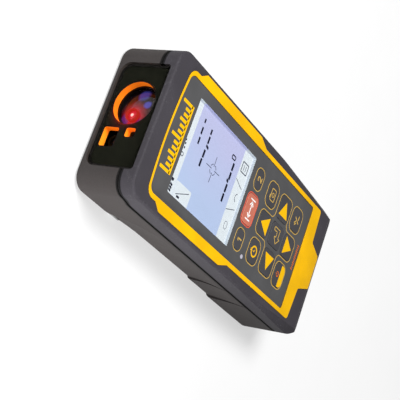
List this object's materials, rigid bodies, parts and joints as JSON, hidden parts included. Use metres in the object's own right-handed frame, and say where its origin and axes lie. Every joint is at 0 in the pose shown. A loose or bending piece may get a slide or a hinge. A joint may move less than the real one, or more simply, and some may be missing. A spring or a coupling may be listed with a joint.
{
  "type": "handheld laser distance meter",
  "caption": "Handheld laser distance meter lying on its back, with a colour display, a keypad, a dark lens window, a battery door and a fold-out end bracket.",
  "frame": {"origin": "middle of the back, on the surface that the meter lies on", "axes": "+Y along the housing, the way the laser beam leaves; +Z out of the display; +X to the right for someone reading the display"},
  "size_m": [0.0586, 0.143, 0.0267],
  "materials": {
    "shell_upper": "matte",
    "shell_lower": "matte",
    "bezel_yellow": "satin",
    "plate_grey": "satin",
    "door_plastic": "matte",
    "bracket_plastic": "satin",
    "inner_plastic": "matte",
    "key_rubber": "matte",
    "key_red": "matte",
    "rubber_black": "matte",
    "display_glass": "gloss",
    "display_cell": "gloss",
    "light_guide": "satin",
    "lamp": "gloss",
    "board_green": "satin",
    "chip_black": "matte",
    "contact_metal": "satin",
    "flex_amber": "satin",
    "cell_jacket": "satin",
    "screw_steel": "satin",
    "insert_brass": "satin",
    "barrel_brass": "satin",
    "window_glass": "gloss",
    "lens_glass": "gloss",
    "mask_black": "matte",
    "liner_orange": "satin",
    "bench_metal": "matte",
    "label_paper": "matte"
  },
  "bodies": {
    "housing": {"upper_shell": "shell_upper", "lower_shell": "shell_lower", "shell_gasket": "rubber_black", "housing_screws": "screw_steel", "bezel_frame": "bezel_yellow", "face_plate": "plate_grey", "display_window": "display_glass", "display_panel": "display_cell", "display_holder": "inner_plastic", "keypad_carrier": "inner_plastic", "snap_domes": "contact_metal", "status_light": "light_guide", "status_lamp": "lamp", "main_board": "board_green", "board_screws": "screw_steel", "board_chips": "chip_black", "radio_module": "contact_metal", "tilt_sensor": "chip_black", "buzzer": "chip_black", "flex_socket": "inner_plastic", "display_flex": "flex_amber", "battery_cell_left": "cell_jacket", "battery_cell_right": "cell_jacket", "contact_plates": "contact_metal", "contact_springs": "contact_metal", "bracket_pin": "screw_steel", "detent_spring": "contact_metal", "front_window": "window_glass", "window_seal": "rubber_black", "optics_mask": "mask_black", "optics_liner": "liner_orange", "receiver_lens": "lens_glass", "laser_barrel": "barrel_brass", "collimator_lens": "lens_glass", "laser_diode": "contact_metal", "optical_bench": "bench_metal", "optics_board": "board_green", "bench_screws": "screw_steel", "photo_detector": "contact_metal", "camera_module": "mask_black", "camera_lens": "lens_glass", "ambient_sensor": "lens_glass", "tripod_insert": "insert_brass", "strap_pin": "screw_steel", "rating_label": "label_paper"},
    "battery_door": {"battery_door": "door_plastic", "door_seal": "rubber_black"},
    "end_bracket": {"end_bracket": "bracket_plastic"},
    "key_dist": {"key_dist": "key_red"},
    "key_f1": {"key_f1": "key_rubber"},
    "key_f2": {"key_f2": "key_rubber"},
    "key_timer": {"key_timer": "key_rubber"},
    "key_camera": {"key_camera": "key_rubber"},
    "key_up": {"key_up": "key_rubber"},
    "key_down": {"key_down": "key_rubber"},
    "key_left": {"key_left": "key_rubber"},
    "key_right": {"key_right": "key_rubber"},
    "key_enter": {"key_enter": "key_rubber"},
    "key_clear": {"key_clear": "key_rubber"},
    "key_plus": {"key_plus": "key_rubber"}
  },
  "joints": [
    {"name": "key_dist_press", "type": "slide", "parent": "housing", "child": "key_dist", "axis": [0, 0, -1], "range_m": [0, 0.0005], "stiffness_N_per_m": 3000},
    {"name": "key_f1_press", "type": "slide", "parent": "housing", "child": "key_f1", "axis": [0, 0, -1], "range_m": [0, 0.0005], "stiffness_N_per_m": 3000},
    {"name": "key_f2_press", "type": "slide", "parent": "housing", "child": "key_f2", "axis": [0, 0, -1], "range_m": [0, 0.0005], "stiffness_N_per_m": 3000},
    {"name": "key_timer_press", "type": "slide", "parent": "housing", "child": "key_timer", "axis": [0, 0, -1], "range_m": [0, 0.0005], "stiffness_N_per_m": 3000},
    {"name": "key_camera_press", "type": "slide", "parent": "housing", "child": "key_camera", "axis": [0, 0, -1], "range_m": [0, 0.0005], "stiffness_N_per_m": 3000},
    {"name": "key_up_press", "type": "slide", "parent": "housing", "child": "key_up", "axis": [0, 0, -1], "range_m": [0, 0.0005], "stiffness_N_per_m": 3000},
    {"name": "key_down_press", "type": "slide", "parent": "housing", "child": "key_down", "axis": [0, 0, -1], "range_m": [0, 0.0005], "stiffness_N_per_m": 3000},
    {"name": "key_left_press", "type": "slide", "parent": "housing", "child": "key_left", "axis": [0, 0, -1], "range_m": [0, 0.0005], "stiffness_N_per_m": 3000},
    {"name": "key_right_press", "type": "slide", "parent": "housing", "child": "key_right", "axis": [0, 0, -1], "range_m": [0, 0.0005], "stiffness_N_per_m": 3000},
    {"name": "key_enter_press", "type": "slide", "parent": "housing", "child": "key_enter", "axis": [0, 0, -1], "range_m": [0, 0.0005], "stiffness_N_per_m": 3000},
    {"name": "key_clear_press", "type": "slide", "parent": "housing", "child": "key_clear", "axis": [0, 0, -1], "range_m": [0, 0.0005], "stiffness_N_per_m": 3000},
    {"name": "key_plus_press", "type": "slide", "parent": "housing", "child": "key_plus", "axis": [0, 0, -1], "range_m": [0, 0.0005], "stiffness_N_per_m": 3000},
    {"name": "door_hinge", "type": "hinge", "parent": "housing", "child": "battery_door", "pos_m": [0, -0.04815, 0.00095], "axis": [-1, 0, 0], "range_deg": [0, 80]},
    {"name": "bracket_hinge", "type": "hinge", "parent": "housing", "child": "end_bracket", "pos_m": [0, -0.0689, 0.002], "axis": [-1, 0, 0], "range_deg": [0, 180]}
  ]
}
